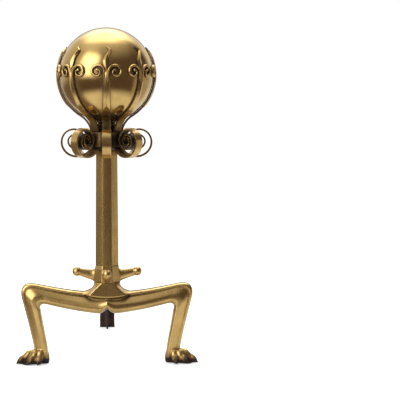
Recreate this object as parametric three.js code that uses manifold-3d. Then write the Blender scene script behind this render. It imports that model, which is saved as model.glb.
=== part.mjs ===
// A ball-top andiron for an open fireplace: a brass standard on two paw feet, and behind it an
// iron billet bar that carries the logs. Everything is threaded on one tie rod, from the nut under
// the leg casting to the bush inside the ball. Eight forged straps, each one bar with a flame tip,
// two side volutes and a foot scroll, cradle the ball and are gripped at the neck by a collar.
// Millimetres, +Z up, front towards -Y. Radii of the octagonal pieces are half across flats.
import * as THREE from "three";
import { mergeVertices } from "three/addons/utils/BufferGeometryUtils.js";
import Module from "manifold-3d";

const wasm = await Module();
wasm.setup();

// ---- Driving dimensions ----

const FIT = 0.3; // clearance between two pieces that seat on each other
const SIDES = 8; // the column is octagonal, with one strap on each side

// Leg casting, as seen from the front: half of it, in x and z from the column axis and the floor.
const waistHeight = 150; // top of the bell, where the arm boss stands
const waistRadius = 23.7;
const crossTopHeight = 131.5; // top edge of the crosspiece, level in the middle
const crossTopRun = 58; // that edge bends here, on its way up to the knee
const crossBottomHeight = 92.8; // lowest point of the crosspiece, beside the notch
const crossBottomBend = new THREE.Vector2(62, 97.5); // the lower edge bends towards this point
const notchApexHeight = 103;
const notchHalfWidth = 16;
const kneeOuter = new THREE.Vector2(163, 153.5);
const kneeOuterRadius = 22.5;
const kneeInner = new THREE.Vector2(123.4, 112.6);
const kneeInnerRadius = 9;
const ankleHeight = 31;
const ankleOuter = 133;
const ankleInner = 108.4;
const shinBend = new THREE.Vector2(138.5, 62); // the outer edge of the shin bends towards this point
const heelInner = 106.3; // the back of the leg, inside the paw
const heelOuter = 130;
const crossDepth = 46; // front to back, at the centre
const kneeDepth = 33;
const ankleDepth = 24;
// Half section, as share of the way from the lower to the upper edge and share of half the depth:
// lower bevel, two faces that meet in a ridge, a step, and the rounded upper edge
const legSection = [
  [0, 0.45],
  [0.1, 0.78],
  [0.42, 1],
  [0.7, 0.84],
  [0.73, 0.9],
  [0.88, 0.82],
  [1, 0.42],
];

// Bell between the crosspiece and the waist
const bellFootHeight = 131;
const bellFootHalfWidth = 50;
const bellFacetHalfWidth = 32; // half the front facet at its foot
const bellEndHalfWidth = 5; // half the end facet at its foot
const bellFootDepth = 25; // from the axis to the front facet at its foot
const bellSag = 6; // the middle of the front facet's foot hangs so much lower
const bellLip = 1.5;
const bellCove = 5; // the hollow under the lip goes in so far

// Paws
const pawSplay = 20; // degrees that the paw turns towards the front
const pawToes = [[-58, 23], [-21, 31], [9, 42.5], [44, 30]]; // degrees from its axis, length
// Instep: distance along the paw from the middle of the ankle, middle height, half height, half width
const instepRows = [
  [-13.3, 9, 8, 7],
  [-11, 13, 13.5, 11],
  [0, 14.5, 15.5, 13.5],
  [11, 12, 12.5, 16],
  [22, 8, 9, 15],
  [32, 5, 6, 10],
];
// Toe: share of its length, middle height, half height, share of its half width; the knuckle stands
// high in front of the ankle, and the last joint low behind the claw
const toeRows = [
  [0, 18, 9, 0.85],
  [0.35, 18.4, 9, 0.95],
  [0.6, 14.4, 11.4, 1.04],
  [0.8, 9.9, 8.6, 0.94],
  [0.92, 7.8, 6.8, 1.04],
  [1.02, 4.2, 3.2, 0.6],
];
const toeHalfWidth = 6.9;
const clawLength = 8;
const clawRadius = 2.2;
const clawDip = 0.5; // radians that a claw points down

// Arm boss, with a round knob at the end of each of its four arms
const bossHeight = 30;
const bossShoulder = 1.2; // the boss stands so far outside the shaft
const bossChamfer = 7; // height of the slope up to the shaft
const armReach = 54.5; // from the axis to the middle of a knob
const armRise = 18.8; // middle of a knob above the waist
const armRootRise = 7.5; // middle of an arm above the waist, at the axis
const armRootHeight = 23;
const armTipHeight = 13;
const armRootWidth = 17;
const armTipWidth = 11.5;
const knobRadius = 8.4;

// Column
const shaftLength = 207.5;
const shaftFootRadius = 20.7;
const shaftHeadRadius = 19.2;
const shaftWall = 3;

// Neck core, which the straps are gripped against
const neckRadius = 24.75;
const neckShoulder = 5.5; // height of the flare under the gripped stretch
const neckGrip = 28; // height of the gripped stretch
const neckHeight = 44.1;
const neckThroat = 14;
const spigotDepth = 14;

// Ball and its seat
const ballRadius = 85;
const ballWall = 2;
const ballHole = 12;
const seatRadius = 19;
const seatHeight = 9;
const seatBead = [1, 3]; // the bead at its foot stands out so far, and is so high
const seatRim = 3; // height of the upright rim round its head
const bushFlange = 17;
const bushFlangeThickness = 5;
const bushDrop = 4; // the bush reaches this far below the ball, into the seat

// Straps
const strapThickness = 3.5;
const strapTopWidth = 9.5; // at the ball's equator
const strapFootWidth = 16.2; // in the foot scroll
const strapTaperLength = 130;
const strapEdge = 3; // height of the chamfered edge on the ball
const strapRidge = 5.2; // height of the ridge on the ball
const ridgeFade = [40, 50]; // degrees below the equator, where the ridge sinks into a flat strap
const bendRadius = 41.75; // of the reverse bend between ball and neck
const scrollRadius = 28.5;
const scrollStandoff = 30.2; // from the strap in the neck out to the scroll's eye
const eyeBelowBend = 9.5; // scroll's eye below the end of the reverse bend
const neckRunBelowEye = 7; // the strap runs straight down to here
const scrollTurns = 2.75;
const scrollShrink = 0.5; // radius left after each turn
const scrollStart = 60; // degrees before the lowest point, where the bend joins the scroll
const scrollEndThickness = 2.6;

// Side volutes, measured along the ball beside each strap and up from its equator
const voluteEye = new THREE.Vector2(16, 4.5);
const voluteRadius = 13.4;
const voluteSweep = 310; // degrees
const voluteEndRadius = 6.6;
const voluteWidth = 5;
const voluteEdge = 2.2;
const voluteRidge = 4.2;
const voluteRoot = 12; // the two volutes leave the strap this far below the equator
const voluteBead = 6.8; // width of the bead that ends a volute
const voluteLift = 0.25; // a volute lies this much higher on the ball than its strap

// Flame tip of a strap: sideways, up from the equator, width
const flameTip = [
  [0, 0, 9.5],
  [0, 7, 4.6],
  [-1.5, 23, 10],
  [2.3, 32, 6.3],
  [6.5, 41.5, 4.3],
  [0.4, 48.5, 1.2],
];
const flameEdge = 1.6;
const flameRidge = 4.4;

// Collar round the straps
const collarHeight = 26.3;
const collarBelowEye = 10.9; // its lower edge below the scrolls' eyes
const collarWall = 4.5;
const collarMouth = [2, 6.5]; // the bore opens by so much, over so long a stretch, at both ends
const collarBevel = 1;

// Billet bar, a T-section with its web below
const barTop = 122;
const barWidth = 30;
const barFootWidth = 32;
const barThickness = 9;
const barReach = 477.5; // from the axis to the back of the rear leg
const barBend = 42; // outer radius of the bend down into the rear leg
const barWebThickness = 4.5;
const barWebDepth = 14;
const barWebFoot = 33; // the web's reach in front of the rear leg
const barTongue = 9; // the bar's front end, in front of the axis
const barTongueThickness = 8; // the bar is drawn down to this where it enters the leg casting
const barShoulder = 1; // the full thickness starts so far behind the leg casting
const barWebGap = 8; // the web starts this far behind the leg casting
const barWebCurve = 30; // the web's lower edge turns down into the rear leg over this length
const barWebSunk = 1; // the web is forged this far into the flange

// Tie rod and its fastening
const rodRadius = 4.5;
const rodThread = 12; // the rod's length in the bush
const rodTail = 2; // the rod's end below the nut
const boreClearance = 0.6;
const washerRadius = 8.6;
const washerThickness = 2.5;
const nutAcrossFlats = 14;
const nutThickness = 9;

// Number of faces round the curved pieces
const ballSegments = 36;
const ballRings = 18;
const seatSegments = 26;
const roundSegments = 16;
const instepCorners = 12;
const toeCorners = 8;
const clawCorners = 5;

// ---- Heights up the tie rod, worked out from the floor ----

const bossFoot = waistHeight + FIT;
const shaftFoot = bossFoot + bossHeight + FIT;
const shaftHead = shaftFoot + shaftLength;
const neckFoot = shaftHead + FIT;
const seatFoot = neckFoot + neckHeight + FIT;
const ballCentre = seatFoot + seatHeight + Math.sqrt((ballRadius + FIT) ** 2 - seatRadius ** 2);
const bushFoot = ballCentre - Math.sqrt(ballRadius ** 2 - ballHole ** 2) - bushDrop;
const rodHead = bushFoot + rodThread;
const tongueTop = barTop - barThickness + barTongueThickness;
const washerTop = barTop - barThickness - FIT;
const nutTop = washerTop - washerThickness - FIT;
const rodFoot = nutTop - nutThickness - rodTail;

// The strap's middle line in the neck, and where its reverse bend ends, from the ball's centre
const strapOnBall = ballRadius + FIT + strapThickness / 2;
const strapInNeck = neckRadius + FIT + strapThickness / 2;
const bendCentre = new THREE.Vector2(
  strapInNeck + bendRadius,
  -Math.sqrt((strapOnBall + bendRadius) ** 2 - (strapInNeck + bendRadius) ** 2),
);
const scrollEye = new THREE.Vector2(strapInNeck + scrollStandoff, bendCentre.y - eyeBelowBend);

// ---- Shapes ----

const radians = THREE.MathUtils.degToRad;
const mix = THREE.MathUtils.lerp;
const steps = (count) => Array.from({ length: count + 1 }, (_, i) => i / count);

function toSolid(geometry) {
  const bare = geometry.clone();
  bare.deleteAttribute("normal");
  bare.deleteAttribute("uv");
  const merged = mergeVertices(bare, 1e-4);
  return new wasm.Manifold(
    new wasm.Mesh({
      numProp: 3,
      vertProperties: merged.attributes.position.array,
      triVerts: new Uint32Array(merged.index.array),
    }),
  );
}

function toGeometry(solid) {
  const { vertProperties, triVerts } = solid.getMesh();
  const geometry = new THREE.BufferGeometry();
  geometry.setAttribute("position", new THREE.BufferAttribute(vertProperties, 3));
  geometry.setIndex(new THREE.BufferAttribute(triVerts, 1));
  return geometry;
}

const join = (...parts) => toGeometry(parts.map(toSolid).reduce((whole, part) => whole.add(part)));
const cut = (body, ...tools) =>
  toGeometry(tools.map(toSolid).reduce((rest, tool) => rest.subtract(tool), toSolid(body)));

// A solid turned about Z from [radius, height] pairs that run up its outside.
function turned(profile, segments = roundSegments) {
  const points = profile.map(([radius, height]) => new THREE.Vector2(radius, height));
  return new THREE.LatheGeometry(points, segments).rotateX(Math.PI / 2);
}

// The same with eight flat sides, one of them to the front.
function octagonal(profile) {
  const corner = 1 / Math.cos(Math.PI / SIDES);
  const corners = profile.map(([radius, height]) => [radius * corner, height]);
  return turned(corners, SIDES).rotateZ(Math.PI / SIDES);
}

const rod = (radius, foot, head, segments = roundSegments) =>
  turned([[0, foot], [radius, foot], [radius, head], [0, head]], segments);

function block(low, high) {
  const size = high.map((value, axis) => value - low[axis]);
  const middle = high.map((value, axis) => (value + low[axis]) / 2);
  return new THREE.BoxGeometry(...size).translate(...middle);
}

// A closed solid through a row of sections with as many points each.
function loft(sections) {
  const count = sections[0].length;
  const points = sections.flat();
  const faces = [];
  for (let row = 0; row + 1 < sections.length; row += 1) {
    for (let i = 0; i < count; i += 1) {
      const here = row * count + i;
      const next = row * count + ((i + 1) % count);
      faces.push(here, next, next + count, here, next + count, here + count);
    }
  }
  const last = points.length - count;
  for (let i = 1; i + 1 < count; i += 1) {
    faces.push(0, i + 1, i, last, last + i, last + i + 1);
  }
  return facingOut(points, faces);
}

// The geometry of a closed surface, with its faces turned round if they point inwards.
function facingOut(points, faces) {
  let volume = 0;
  for (let i = 0; i < faces.length; i += 3) {
    const [a, b, c] = faces.slice(i, i + 3).map((index) => points[index]);
    volume += a.dot(b.clone().cross(c));
  }
  const outward = volume > 0 ? faces : faces.toReversed();
  const geometry = new THREE.BufferGeometry().setFromPoints(points);
  geometry.setIndex(outward);
  return geometry;
}

// Points of an oval in the plane that "side" and "up" span.
function oval(middle, side, up, count) {
  return Array.from({ length: count }, (_, i) => {
    const angle = (2 * Math.PI * i) / count;
    return middle.clone()
      .addScaledVector(side, Math.cos(angle))
      .addScaledVector(up, Math.sin(angle));
  });
}

// ---- Straps ----
// The front strap, from the ball's centre: its radius runs towards -Y and its width along X.

// Log spiral that shrinks towards the scroll's eye, from just before its lowest point.
class ScrollCurve extends THREE.Curve {
  getPoint(t) {
    // the points lie closer where the scroll is wide
    const angle = mix(radians(-scrollStart), 2 * Math.PI * scrollTurns, t ** 1.4);
    const radius = scrollRadius * scrollShrink ** (angle / (2 * Math.PI));
    return new THREE.Vector2(
      scrollEye.x + radius * Math.sin(angle),
      scrollEye.y - radius * Math.cos(angle),
    );
  }
  getTangent(t) {
    const step = 1e-4;
    const from = Math.max(t - step, 0);
    return this.getPoint(from + 2 * step).sub(this.getPoint(from)).normalize();
  }
}

// Middle line of the strap, on the ball and from there to the end of its scroll, as [curve, steps].
function strapLine() {
  const bendStart = Math.atan2(-bendCentre.y, bendCentre.x);
  const ballArc = new THREE.EllipseCurve(0, 0, strapOnBall, strapOnBall, 0, -bendStart, true);
  const bendArc = new THREE.EllipseCurve(
    bendCentre.x, bendCentre.y, bendRadius, bendRadius, Math.PI - bendStart, Math.PI,
  );
  const runEnd = new THREE.Vector2(strapInNeck, scrollEye.y - neckRunBelowEye);
  const neckRun = new THREE.LineCurve(new THREE.Vector2(strapInNeck, bendCentre.y), runEnd);
  const scroll = new ScrollCurve();
  const scrollPoint = scroll.getPoint(0);
  const ease = scrollPoint.distanceTo(runEnd) / 3;
  const turnOut = new THREE.CubicBezierCurve(
    runEnd,
    runEnd.clone().add(new THREE.Vector2(0, -ease)),
    scrollPoint.clone().addScaledVector(scroll.getTangent(0), -ease),
    scrollPoint,
  );
  return { ball: [[ballArc, 8]], below: [[bendArc, 4], [neckRun, 1], [turnOut, 3], [scroll, 28]] };
}

// One section of a strip: flat below, with two upright edges and a ridge, if any, between them.
function stripSection({ middle, side, out, width, edge, ridge }) {
  const corner = (across, height) =>
    middle.clone().addScaledVector(side, across).addScaledVector(out, height);
  const half = width / 2;
  const top = ridge ? [corner(0, ridge)] : [];
  return [corner(-half, 0), corner(half, 0), corner(half, edge), ...top, corner(-half, edge)];
}

// A strip laid on the ball, along points given as sideways, up and width.
function stripOnBall(points, shapeAt, lift = 0) {
  const onBall = points.map(([across, up]) => {
    const radius = ballRadius + FIT + lift;
    return new THREE.Vector3(across, -Math.sqrt(radius ** 2 - across ** 2 - up ** 2), up);
  });
  return points.map(([, , width], i) => {
    const before = onBall[Math.max(i - 1, 0)];
    const after = onBall[Math.min(i + 1, points.length - 1)];
    const out = onBall[i].clone().normalize();
    const side = out.clone().cross(after.clone().sub(before)).normalize();
    return stripSection({ middle: onBall[i], side, out, width, ...shapeAt(i / (points.length - 1)) });
  });
}

// The flame tip and the ridged strap on the ball, then the flat strap through the neck and scroll.
function strapBody() {
  const { ball: onBall, below } = strapLine();
  const length = (stretches) => stretches.reduce((sum, [curve]) => sum + curve.getLength(), 0);
  const widthAt = (travelled) =>
    mix(strapTopWidth, strapFootWidth, Math.min(1, travelled / strapTaperLength));

  // Sections along some stretches, the first of which starts so far along the strap
  const sectionsAlong = (stretches, start, shapeAt) => {
    const sections = [];
    let travelled = start;
    let previous = null;
    for (const [curve, count] of stretches) {
      for (const t of steps(count).slice(previous ? 1 : 0)) {
        const point = curve.getPoint(t);
        const tangent = curve.getTangent(t);
        travelled += previous ? point.distanceTo(previous) : 0;
        previous = point;
        const out = new THREE.Vector3(0, tangent.y, tangent.x);
        const middle = new THREE.Vector3(0, -point.x, point.y);
        sections.push(stripSection({
          middle: middle.addScaledVector(out, -strapThickness / 2),
          side: new THREE.Vector3(1, 0, 0),
          out,
          width: widthAt(travelled),
          ...shapeAt({ point, curve, t }),
        }));
      }
    }
    return sections;
  };

  const flame = new THREE.CatmullRomCurve3(flameTip.map((point) => new THREE.Vector3(...point)));
  const flamePoints = steps(10).map((t) => flame.getPoint(t).toArray()).reverse();
  const rise = (t) => Math.min(1, 3 * t); // over the first third
  const tip = stripOnBall(flamePoints.slice(0, -1), (t) => ({
    edge: mix(flameEdge, strapEdge, rise(t)),
    ridge: mix(flameRidge / 2, mix(flameRidge, strapRidge, t), rise(t)),
  }));
  const ridged = sectionsAlong(onBall, 0, ({ point }) => {
    const below = THREE.MathUtils.radToDeg(Math.atan2(-point.y, point.x));
    const flat = THREE.MathUtils.smoothstep(below, ...ridgeFade);
    return {
      edge: mix(strapEdge, strapThickness, flat),
      ridge: mix(strapRidge, strapThickness, flat),
    };
  });
  const flat = sectionsAlong(below, length(onBall), ({ curve, t }) => ({
    edge: curve instanceof ScrollCurve ? mix(strapThickness, scrollEndThickness, t) : strapThickness,
  }));
  return join(loft([...tip, ...ridged]), loft(flat));
}

// Volute that grows out of the strap upwards and curls away from it; hand is 1 or -1.
function volute(hand) {
  const points = [[voluteEye.x - voluteRadius - 1, -voluteRoot, voluteWidth * 0.8]];
  const turns = steps(12);
  for (const t of turns) {
    const angle = Math.PI - radians(voluteSweep) * t;
    const radius = mix(voluteRadius, voluteEndRadius, t);
    points.push([
      voluteEye.x + radius * Math.cos(angle),
      voluteEye.y + radius * Math.sin(angle),
      t < 1 ? voluteWidth : voluteBead,
    ]);
  }
  const end = points.at(-1);
  const before = points.at(-2);
  const run = [end[0] - before[0], end[1] - before[1]];
  const reach = voluteBead / 2 / Math.hypot(...run);
  points.push([end[0] + run[0] * reach, end[1] + run[1] * reach, voluteBead * 0.6]);
  const handed = points.map(([across, up, width]) => [hand * across, up, width]);
  const shape = (t) => ({ edge: voluteEdge, ridge: mix(voluteEdge, voluteRidge, Math.min(1, 8 * t)) });
  return loft(stripOnBall(handed, shape, voluteLift));
}

// ---- Ball, seat, neck and column ----

function ball() {
  const arc = (radius, from, count) =>
    steps(count).map((t) => {
      const angle = mix(from, Math.PI / 2, t);
      return [t < 1 ? radius * Math.cos(angle) : 0, radius * Math.sin(angle)];
    });
  const shell = turned(arc(ballRadius, -Math.PI / 2, ballRings), ballSegments);
  const hollow = turned(arc(ballRadius - ballWall, -Math.PI / 2, ballRings / 2), ballSegments / 2);
  return cut(shell, hollow, rod(ballHole, -ballRadius - 1, -ballRadius / 2));
}

// Threaded bush soldered into the bottom of the ball.
function ballBush() {
  const inside = (ballRadius - ballWall) * Math.cos(Math.PI / ballRings); // of the hollow's flat faces
  const flangeFoot = ballCentre - Math.sqrt(inside ** 2 - bushFlange ** 2) + FIT;
  const stem = ballHole - 2 * FIT;
  const flangeTop = flangeFoot + bushFlangeThickness;
  const body = turned([
    [0, bushFoot], [stem, bushFoot], [stem, flangeFoot], [bushFlange, flangeFoot],
    [bushFlange, flangeTop], [0, flangeTop],
  ]);
  return cut(body, rod(rodRadius + FIT, bushFoot - 1, rodHead + FIT));
}

function ballSeat() {
  const head = seatFoot + seatHeight;
  const well = ballHole + FIT;
  const wellHead = ballCentre - Math.sqrt((ballRadius + FIT) ** 2 - well ** 2);
  const [proud, beadHeight] = seatBead;
  const body = turned([
    [0, seatFoot], [neckThroat + proud, seatFoot], [neckThroat + proud, seatFoot + beadHeight / 2],
    [neckThroat, seatFoot + beadHeight], [seatRadius, head - seatRim], [seatRadius, head],
    [well, wellHead], [well, bushFoot - FIT], [0, bushFoot - FIT],
  ], seatSegments);
  return cut(body, rod(rodRadius + boreClearance, seatFoot - 1, head));
}

function neckCore() {
  const spigot = shaftHeadRadius - shaftWall - FIT;
  const gripFoot = neckFoot + neckShoulder;
  const gripHead = gripFoot + neckGrip;
  const head = neckFoot + neckHeight;
  const body = octagonal([
    [0, neckFoot - spigotDepth], [spigot, neckFoot - spigotDepth], [spigot, neckFoot],
    [shaftHeadRadius, neckFoot], [neckRadius, gripFoot], [neckRadius, gripHead],
    [neckThroat, gripHead + (neckRadius - neckThroat) / 2], [neckThroat, head], [0, head],
  ]);
  return cut(body, rod(rodRadius + boreClearance, neckFoot - spigotDepth - 1, head + 1));
}

function collarBand() {
  const bore = neckRadius + FIT + strapThickness + FIT;
  const [open, stretch] = collarMouth;
  const foot = ballCentre + scrollEye.y - collarBelowEye;
  const head = foot + collarHeight;
  const outside = bore + collarWall;
  return octagonal([
    [bore + open, foot], [outside - collarBevel, foot], [outside, foot + collarBevel],
    [outside, head - collarBevel], [outside - collarBevel, head], [bore + open, head],
    [bore, head - stretch], [bore, foot + stretch], [bore + open, foot],
  ]);
}

function shaft() {
  return octagonal([
    [shaftFootRadius - shaftWall, shaftFoot], [shaftFootRadius, shaftFoot],
    [shaftHeadRadius, shaftHead], [shaftHeadRadius - shaftWall, shaftHead],
    [shaftFootRadius - shaftWall, shaftFoot],
  ]);
}

// ---- Arm boss ----

// One arm towards +X: a tapered eight-sided bar that climbs a little to its knob.
function arm() {
  const knobHeight = waistHeight + armRise;
  const rootHeight = waistHeight + armRootRise;
  const along = new THREE.Vector3(armReach, 0, knobHeight - rootHeight);
  const sections = [0, 0.4, 1].map((t) => {
    const height = mix(armRootHeight, armTipHeight, t) / 2;
    const width = mix(armRootWidth, armTipWidth, t) / 2;
    const middle = along.clone().multiplyScalar(t).add(new THREE.Vector3(0, 0, rootHeight));
    return oval(middle, new THREE.Vector3(0, width, 0), new THREE.Vector3(0, 0, height), 8);
  });
  const knob = new THREE.SphereGeometry(knobRadius, 10, 8).translate(armReach, 0, knobHeight);
  return join(loft(sections), knob);
}

function armBoss() {
  const head = bossFoot + bossHeight;
  const body = octagonal([
    [0, bossFoot], [waistRadius, bossFoot], [shaftFootRadius + bossShoulder, head - bossChamfer],
    [shaftFootRadius, head], [0, head],
  ]);
  const arms = [0, 1, 2, 3].map((turn) => arm().rotateZ((turn * Math.PI) / 2));
  // The roots of the arms are cut off level with the foot of the boss
  const under = block([-armReach, -armReach, 0], [armReach, armReach, bossFoot]);
  return cut(join(body, ...arms), under, rod(rodRadius + boreClearance, bossFoot - 1, head + 1));
}

// ---- Leg casting ----

// The quadratic curve that rounds a corner between two points to about the given radius.
function rounding(from, corner, to, radius) {
  const inward = from.clone().sub(corner).normalize();
  const onward = to.clone().sub(corner).normalize();
  const setback = radius / Math.tan(inward.angleTo(onward) / 2);
  return new THREE.QuadraticBezierCurve(
    corner.clone().addScaledVector(inward, setback),
    corner,
    corner.clone().addScaledVector(onward, setback),
  );
}

// The height of a curve that only runs towards +x, at the given x.
function heightAt(curve, x) {
  let low = 0;
  let high = 1;
  for (let i = 0; i < 30; i += 1) {
    const middle = (low + high) / 2;
    if (curve.getPoint(middle).x < x) low = middle;
    else high = middle;
  }
  return curve.getPoint(low).y;
}

// Pairs of points on the lower or inner and the upper or outer edge, from the centre to the ankle.
function legEdges() {
  const hipTop = new THREE.Vector2(crossTopRun, crossTopHeight);
  const hipBottom = new THREE.Vector2(notchHalfWidth, crossBottomHeight);
  const outerKnee = rounding(hipTop, kneeOuter, shinBend, kneeOuterRadius);
  const ankle = new THREE.Vector2(ankleInner, ankleHeight);
  const innerKnee = rounding(hipBottom, kneeInner, ankle, kneeInnerRadius);
  const centreTop = new THREE.Vector2(crossTopRun / 2, crossTopHeight);
  const topEdge = new THREE.QuadraticBezierCurve(centreTop, hipTop, outerKnee.v0);
  const bottomEdge = new THREE.QuadraticBezierCurve(hipBottom, crossBottomBend, innerKnee.v0);
  const outerShin = new THREE.QuadraticBezierCurve(
    outerKnee.v2, shinBend, new THREE.Vector2(ankleOuter, ankleHeight),
  );
  const innerShin = new THREE.LineCurve(innerKnee.v2, ankle);
  const pairs = [];
  const addPair = (lower, upper, depth) => pairs.push({ lower, upper, depth });

  const addCross = (lowerX, lowerHeight) => {
    const share = lowerX / innerKnee.v0.x;
    const upperX = share * outerKnee.v0.x;
    const upper = new THREE.Vector2(upperX, heightAt(topEdge, upperX));
    addPair(new THREE.Vector2(lowerX, lowerHeight), upper, mix(crossDepth, kneeDepth, share));
  };
  for (const t of steps(4).slice(0, -1)) {
    const notch = mix(crossBottomHeight, notchApexHeight, (1 - t) ** 2);
    addCross(t * notchHalfWidth, notch);
  }
  for (const t of steps(6).slice(0, -1)) {
    const x = mix(notchHalfWidth, innerKnee.v0.x, t);
    addCross(x, heightAt(bottomEdge, x));
  }
  for (const t of steps(6)) addPair(innerKnee.getPoint(t), outerKnee.getPoint(t), kneeDepth);
  for (const t of steps(4).slice(1)) {
    addPair(innerShin.getPoint(t), outerShin.getPoint(t), mix(kneeDepth, ankleDepth, t));
  }
  const heel = new THREE.Vector2(heelInner, ankleHeight / 3);
  addPair(heel, new THREE.Vector2(heelOuter, ankleHeight / 3), ankleDepth);
  return pairs;
}

function legBeam() {
  const outline = [
    ...legSection.map(([up, out]) => [up, -out]),
    ...legSection.toReversed(),
  ];
  const section = ({ lower, upper, depth }, side) =>
    outline.map(([up, out]) => {
      const point = lower.clone().lerp(upper, up);
      return new THREE.Vector3(side * point.x, (out * depth) / 2, point.y);
    });
  const pairs = legEdges();
  const left = pairs.slice(1).reverse().map((pair) => section(pair, -1));
  const right = pairs.map((pair) => section(pair, 1));
  return loft([...left, ...right]);
}

// The bell flares from the octagonal waist to a broad foot that lies along the crosspiece, with a
// thin lip and a cove below it. Rows are height, half width, half the front facet, half the end
// facet, depth from the axis, and how much lower the middle of the front and back hangs.
function bell() {
  const waistFacet = waistRadius * Math.tan(Math.PI / SIDES);
  const flare = [[1, 0], [0.74, 0], [0.52, 0.07], [0.34, 0.21], [0.2, 0.41], [0.08, 0.68], [0, 1]];
  const rows = flare.map(([up, out]) => [
    mix(bellFootHeight, waistHeight, up),
    mix(waistRadius, bellFootHalfWidth, out),
    mix(waistFacet, bellFacetHalfWidth, 1 - up),
    mix(waistFacet, bellEndHalfWidth, out),
    mix(waistRadius, bellFootDepth, 1 - up),
    bellSag * (1 - up) ** 2,
  ]);
  const lipFoot = bellFootHeight - bellLip;
  const [width, facet, end] = [bellFootHalfWidth, bellFacetHalfWidth, bellEndHalfWidth];
  const inside = bellFootDepth - bellCove;
  rows.push(
    [lipFoot, width, facet, end, bellFootDepth, bellSag],
    [lipFoot - bellCove / 2, width - bellCove, facet - bellCove, end, inside, bellSag],
    [lipFoot - 2 * bellCove, width - bellCove, facet - bellCove, end, inside, bellSag],
  );
  return loft(rows.map(([height, halfWidth, facetHalf, side, depth, sag]) => {
    const corners = [
      [facetHalf, -depth, sag / 2], [halfWidth, -side, 0], [halfWidth, side, 0],
      [facetHalf, depth, sag / 2], [0, depth, sag], [-facetHalf, depth, sag / 2],
      [-halfWidth, side, 0], [-halfWidth, -side, 0], [-facetHalf, -depth, sag / 2], [0, -depth, sag],
    ];
    return corners.map(([x, y, drop]) => new THREE.Vector3(x, y, height - drop));
  }));
}

// A paw towards +X from the middle of the ankle: heel and instep, and toes with their claws.
function paw() {
  const rowsOf = (rows, corners) =>
    loft(rows.map(([along, height, halfHeight, halfWidth]) => oval(
      new THREE.Vector3(along, 0, height),
      new THREE.Vector3(0, halfWidth, 0),
      new THREE.Vector3(0, 0, halfHeight),
      corners,
    )));
  const toes = pawToes.flatMap(([angle, length]) => {
    const rows = toeRows.map(([share, height, halfHeight, wide]) =>
      [share * length, height, halfHeight, wide * toeHalfWidth]);
    const claw = new THREE.ConeGeometry(clawRadius, clawLength, clawCorners)
      .rotateZ(-Math.PI / 2 - clawDip)
      .translate(length + clawRadius / 2, 0, clawRadius * 1.4);
    return [rowsOf(rows, toeCorners), claw].map((part) => part.rotateZ(radians(angle)));
  });
  return join(rowsOf(instepRows, instepCorners), ...toes);
}

function legFrame() {
  const ankleMiddle = (ankleOuter + heelInner) / 2;
  const rightPaw = paw().rotateZ(radians(-pawSplay)).translate(ankleMiddle, 0, 0);
  const leftPaw = mirrored(rightPaw);
  const pocketHalf = barWidth / 2 + 2 * FIT;
  const pocket = block([-pocketHalf, -barTongue - FIT, 0], [pocketHalf, crossDepth, tongueTop + FIT]);
  const [wide, deep] = [2 * kneeOuter.x, 2 * crossDepth];
  const ground = block([-wide, -deep, -crossDepth], [wide, deep, 0]);
  const bore = rod(rodRadius + boreClearance, 0, waistHeight + 1);
  return cut(join(legBeam(), bell(), rightPaw, leftPaw), pocket, ground, bore);
}

// The same solid on the other side of the column, with its faces turned to point outwards again.
function mirrored(geometry) {
  const copy = geometry.clone().scale(-1, 1, 1);
  copy.setIndex(Array.from(copy.index.array).reverse());
  return copy;
}

// ---- Billet bar ----

function billetBar() {
  const inner = barBend - barThickness;
  const middle = barBend - barThickness / 2;
  const bendY = barReach - barBend;
  const bendZ = barTop - barBend;
  const shoulder = crossDepth / 2 + barShoulder;
  const tongueMiddle = tongueTop - barTongueThickness / 2;
  const rows = [
    [-barTongue, tongueMiddle, 0, barTongueThickness],
    [shoulder, tongueMiddle, 0, barTongueThickness],
    [shoulder + barThickness - barTongueThickness, bendZ + middle, 0, barThickness],
  ];
  for (const t of steps(6)) {
    const turn = (Math.PI / 2) * t;
    const [y, z] = [bendY + middle * Math.sin(turn), bendZ + middle * Math.cos(turn)];
    rows.push([y, z, turn, barThickness]);
  }
  rows.push([barReach - barThickness / 2, 0, Math.PI / 2, barThickness]);
  const flange = loft(rows.map(([y, z, turn, thickness]) => {
    const half = mix(barFootWidth, barWidth, z / barTop) / 2;
    const out = new THREE.Vector2(Math.sin(turn), Math.cos(turn)).multiplyScalar(thickness / 2);
    return [
      new THREE.Vector3(-half, y + out.x, z + out.y), new THREE.Vector3(half, y + out.x, z + out.y),
      new THREE.Vector3(half, y - out.x, z - out.y), new THREE.Vector3(-half, y - out.x, z - out.y),
    ];
  }));
  // The web's outline in the plane of the bar
  const webStart = crossDepth / 2 + barWebGap;
  const webTop = barTop - barThickness + barWebSunk;
  const webBottom = barTop - barThickness - barWebDepth;
  const legFront = barReach - barThickness - barWebFoot;
  const outline = new THREE.Shape();
  outline.moveTo(webStart, webTop);
  outline.lineTo(webStart + barWebDepth, webBottom);
  outline.lineTo(legFront - barWebCurve, webBottom);
  outline.quadraticCurveTo(legFront, webBottom, legFront, webBottom - barWebCurve);
  outline.lineTo(legFront, 0);
  outline.lineTo(barReach - barThickness + barWebSunk, 0);
  outline.lineTo(barReach - barThickness + barWebSunk, bendZ);
  outline.absarc(bendY, bendZ, inner + barWebSunk, 0, Math.PI / 2, false);
  const web = new THREE.ExtrudeGeometry(outline, {
    depth: barWebThickness, bevelEnabled: false, curveSegments: 6,
  });
  // The extrusion runs along Z; this turns it so that it runs along X and the outline stands up
  web.rotateX(Math.PI / 2).rotateZ(Math.PI / 2).translate(-barWebThickness / 2, 0, 0);
  const bore = rod(rodRadius + boreClearance, barTop - 2 * barThickness, barTop + 1);
  return cut(join(flange, web), bore);
}

// ---- Fastening ----

const tieRod = () => rod(rodRadius, rodFoot, rodHead);

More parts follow.
